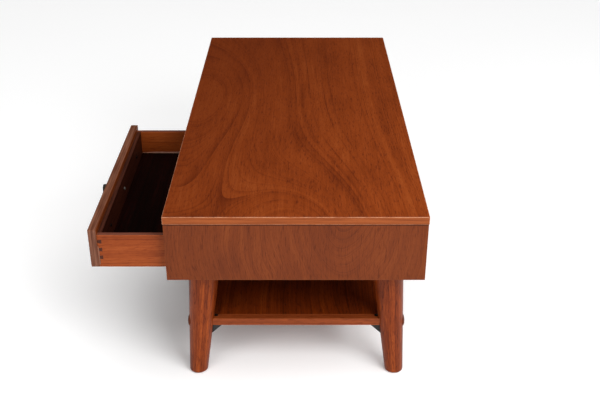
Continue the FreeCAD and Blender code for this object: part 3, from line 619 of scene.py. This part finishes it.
brace_black = plain("brace_black", srgb(9, 7, 6), roughness=0.5)
for side, end in CORNERS:
    dress(f"shelf_brace_{side}_{end}", brace_black)
blackened = plain("blackened_steel", srgb(30, 26, 23), roughness=0.36, metallic=0.9)
make_screws("shelf_brace_screws", Z, "table", blackened)


# ---- Drawers: a veneered front with a gunmetal knob, screwed on a dovetailed box of solid wood.
# It has a thin dark plywood bottom with a runner under it, and its sides slide on small glides.
# Dried glue shows where the bottom meets the sides and where the sides meet the front.

DRAWER_STAIN = (srgb(112, 44, 10), srgb(141, 64, 22), srgb(162, 84, 38))
# The box fronts take a darker copy of the box's stain: painted shade for inner faces turned away from the
# light.
INNER_STAIN = (srgb(30, 8, 2), srgb(48, 17, 7), srgb(70, 30, 14))
FRONT_LIPPING = (srgb(80, 40, 24), srgb(126, 82, 62))
INNER_LIPPING = (srgb(46, 20, 12), srgb(80, 40, 26))
SIDE_LIPPING = (srgb(72, 34, 26), srgb(116, 66, 50))
BOTTOM_STAIN = (srgb(6, 1, 0), srgb(14, 2, 1), srgb(34, 7, 3))
gunmetal = plain("gunmetal", srgb(44, 42, 38), roughness=0.3, metallic=0.9)
dried_glue = plain("dried_glue", srgb(132, 84, 60), roughness=0.45)
BEAD_STEPS, BEAD_SIDES = 40, 6
BEAD_TIP, BEAD_TAPER, BEAD_THINNEST = 0.25, 12, 0.8
FOOT_BEAD_RADIUS, JOIN_BEAD_RADIUS, JOIN_BEAD_ENDS = 0.0034, 0.0024, (0.06, 0.66)
chance = random.Random(7)


def add_bead(shape, start, end, across, up, radius):
    """A run of dried glue in the corner between two faces, uneven and tapered at its ends.
    across and up point out of the corner along the faces."""
    start, end, across, up = Vector(start), Vector(end), Vector(across), Vector(up)
    rings = []
    for step in range(BEAD_STEPS + 1):
        share = step / BEAD_STEPS
        taper = min(1.0, BEAD_TIP + BEAD_TAPER * min(share, 1 - share))
        size = radius * taper * chance.uniform(BEAD_THINNEST, 1.0)
        corner = start.lerp(end, share)
        arc = [math.pi / 2 * side / BEAD_SIDES for side in range(BEAD_SIDES + 1)]
        rings.append([corner] + [corner + size * (math.cos(a) * across + math.sin(a) * up) for a in arc])
    join_rings(shape, rings)


def make_glue_beads(name):
    """Glue squeezed out along the foot of both sides, inside, and behind the ends of the front."""
    floor_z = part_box(f"{name}_bottom")[1].z
    front_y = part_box(f"{name}_box_front")[1].y
    back_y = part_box(f"{name}_box_back")[0].y
    join_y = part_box(f"{name}_front")[1].y
    shape = bmesh.new()
    for side, inwards in (("right", -1), ("left", 1)):
        low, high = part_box(f"{name}_side_{side}")
        inner, outer = (low.x, high.x) if inwards < 0 else (high.x, low.x)
        add_bead(shape, (inner, front_y, floor_z), (inner, back_y, floor_z), (inwards, 0, 0), Z,
                 FOOT_BEAD_RADIUS)
        bottom, top = [(outer, join_y, low.z + share * (high.z - low.z)) for share in JOIN_BEAD_ENDS]
        add_bead(shape, bottom, top, (-inwards, 0, 0), Y, JOIN_BEAD_RADIUS)
    piece = new_piece(f"{name}_glue_beads", shape, dried_glue)
    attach(piece, name)


for hand, start in (("right", 0.0), ("left", 0.7)):
    name = f"drawer_{hand}"
    dress_board(f"{name}_front", CASE_STAIN, start=(start, 0, 0), lipping=FRONT_LIPPING, **LONG_FIGURE)
    dress_board(f"{name}_box_front", INNER_STAIN, start=(0.2, 0, 0), lipping=INNER_LIPPING, faces=1)
    dress_board(f"{name}_box_back", DRAWER_STAIN, lipping=SIDE_LIPPING, faces=1, gloss=0.08)
    for side in ("right", "left"):
        dress_board(f"{name}_side_{side}", DRAWER_STAIN, axes=ALONG_Y, ring_width=0.006,
                    lipping=SIDE_LIPPING, faces=0)
    dress_board(f"{name}_bottom", BOTTOM_STAIN, ring_width=0.03, pith=(0, -1.0, 0), bands=1.6, gloss=0.03)
    dress_board(f"{name}_runner", CARCASE_STAIN, axes=ALONG_Y)
    dress(f"{name}_glides", zinc)
    dress(f"{name}_knob", gunmetal)
    make_screws(f"{name}_knob_screw", Y, name, zinc)
    make_screws(f"{name}_front_screws", Y, name, blackened)
    make_glue_beads(name)


# ---- Top: one board faced with rotary-cut walnut veneer in long dark loops, lipped with paler
# walnut and screwed from below. Its arrises are painted pale, partly from use and partly as a painted
# highlight, and painted shade darkens the drawers' side.

TOP_STAIN = (srgb(88, 31, 5), srgb(131, 56, 16), srgb(158, 80, 33))
TOP_LIPPING = (srgb(120, 55, 20), srgb(150, 77, 34))
# A painted highlight: the top's arrises turn to this pale colour for the light they catch, along with
# thinning from use.
TOP_RUBBED = srgb(205, 150, 118)
# Painted shade that darkens the top towards the drawers' side.
TOP_SHADED = ((0.25, 1, 0), -0.40, 0.36, 0.52)
TOP_HILLS = [
    ((-0.08, -0.21, 0), (0.44, 0.16, 1), -8),
    ((0.46, -0.24, 0), (0.25, 0.10, 1), -2),
    ((0.76, 0.01, 0), (0.40, 0.17, 1), -12),
    ((0.70, 0.00, 0), (0.18, 0.10, 1), -5),
]
dress_board("top_panel", TOP_STAIN, pith=(0, -3.0, 0), ring_width=0.045, wander=0.02, hills=TOP_HILLS,
            lines=0.65, spurts=7.0, bands=0.62, threads=1.0, lipping=TOP_LIPPING, faces=2, wear=1.0,
            rubbed=TOP_RUBBED, shaded=TOP_SHADED)


# ---- Studio: a pale painted floor that shows from above only, and white all round it.
# A bright ceiling, two soft lamps and a wide soft sun overhead give the light.

FLOOR_REACH, FLOOR_WHITENESS, FLOOR_GLOW = 60, 0.93, 0.14
floor_corners = [(x * FLOOR_REACH, y * FLOOR_REACH, 0) for x, y in ((-1, -1), (1, -1), (1, 1), (-1, 1))]
floor_mesh = bpy.data.meshes.new("studio_floor")
floor_mesh.from_pydata(floor_corners, [], [(0, 1, 2, 3)])
floor = bpy.data.objects.new("studio_floor", floor_mesh)
bpy.context.scene.collection.objects.link(floor)
floor_paint = bpy.data.materials.new("studio_floor")
floor_paint.use_nodes = True
tree = floor_paint.node_tree
shader = tree.nodes["Principled BSDF"]
shader.inputs["Base Color"].default_value = (FLOOR_WHITENESS, FLOOR_WHITENESS, FLOOR_WHITENESS, 1)
shader.inputs["Emission Color"].default_value = (1, 1, 1, 1)
shader.inputs["Emission Strength"].default_value = FLOOR_GLOW
shader.inputs["Roughness"].default_value = 0.9
shader.inputs["Specular IOR Level"].default_value = 0.0
below = tree.nodes.new("ShaderNodeMixShader")
feed(tree, below.inputs[0], tree.nodes.new("ShaderNodeNewGeometry").outputs["Backfacing"])
feed(tree, below.inputs[1], shader.outputs[0])
feed(tree, below.inputs[2], tree.nodes.new("ShaderNodeBsdfTransparent").outputs[0])
feed(tree, tree.nodes["Material Output"].inputs["Surface"], below.outputs[0])
floor_mesh.materials.append(floor_paint)

world = bpy.data.worlds.new("studio")
bpy.context.scene.world = world
world.use_nodes = True
tree = world.node_tree
backdrop = tree.nodes["Background"]
height = split(tree, tree.nodes.new("ShaderNodeTexCoord").outputs["Generated"])[2]
WALL_LIGHT, CEILING_LIGHT = 0.006, 0.065
ceiling = fade(tree, height, 0.30, 0.85, WALL_LIGHT, CEILING_LIGHT)
backdrop.inputs["Color"].default_value = (1, 1, 1, 1)
seen = tree.nodes.new("ShaderNodeLightPath").outputs["Is Camera Ray"]
feed(tree, backdrop.inputs["Strength"], maths(tree, "MAXIMUM", ceiling, seen))


def softbox(name, place, aim, size, power):
    lamp = bpy.data.lights.new(name, "AREA")
    lamp.shape = "RECTANGLE"
    lamp.size, lamp.size_y = size
    lamp.energy = power
    holder = bpy.data.objects.new(name, lamp)
    holder.location = place
    holder.rotation_euler = (Vector(aim) - Vector(place)).to_track_quat("-Z", "Y").to_euler()
    bpy.context.scene.collection.objects.link(holder)


LAMP_AIM = (0.2, 0, 0.3)
softbox("key", place=(2.2, 1.5, 2.0), aim=LAMP_AIM, size=(1.8, 1.4), power=62)
softbox("fill", place=(2.8, -1.6, 1.6), aim=LAMP_AIM, size=(2.0, 1.6), power=26)
overhead = bpy.data.lights.new("overhead", "SUN")
overhead.energy = 2.3
overhead.angle = math.radians(75)
overhead_holder = bpy.data.objects.new("overhead", overhead)
overhead_holder.rotation_euler = (math.radians(-8), math.radians(4), 0)
bpy.context.scene.collection.objects.link(overhead_holder)
bpy.context.scene.view_settings.view_transform = "Standard"


# ---- Camera: it stands off the table's right end, 1.36 m up, and looks down along its length.

camera_data = bpy.data.cameras.new("camera")
camera_data.lens = 54
camera_data.sensor_width = 36
camera = bpy.data.objects.new("camera", camera_data)
camera.location = (2.2497, 0.0088, 1.3579)
camera.rotation_euler = (math.radians(62.04), 0, math.radians(90))
bpy.context.scene.collection.objects.link(camera)
bpy.context.scene.camera = camera
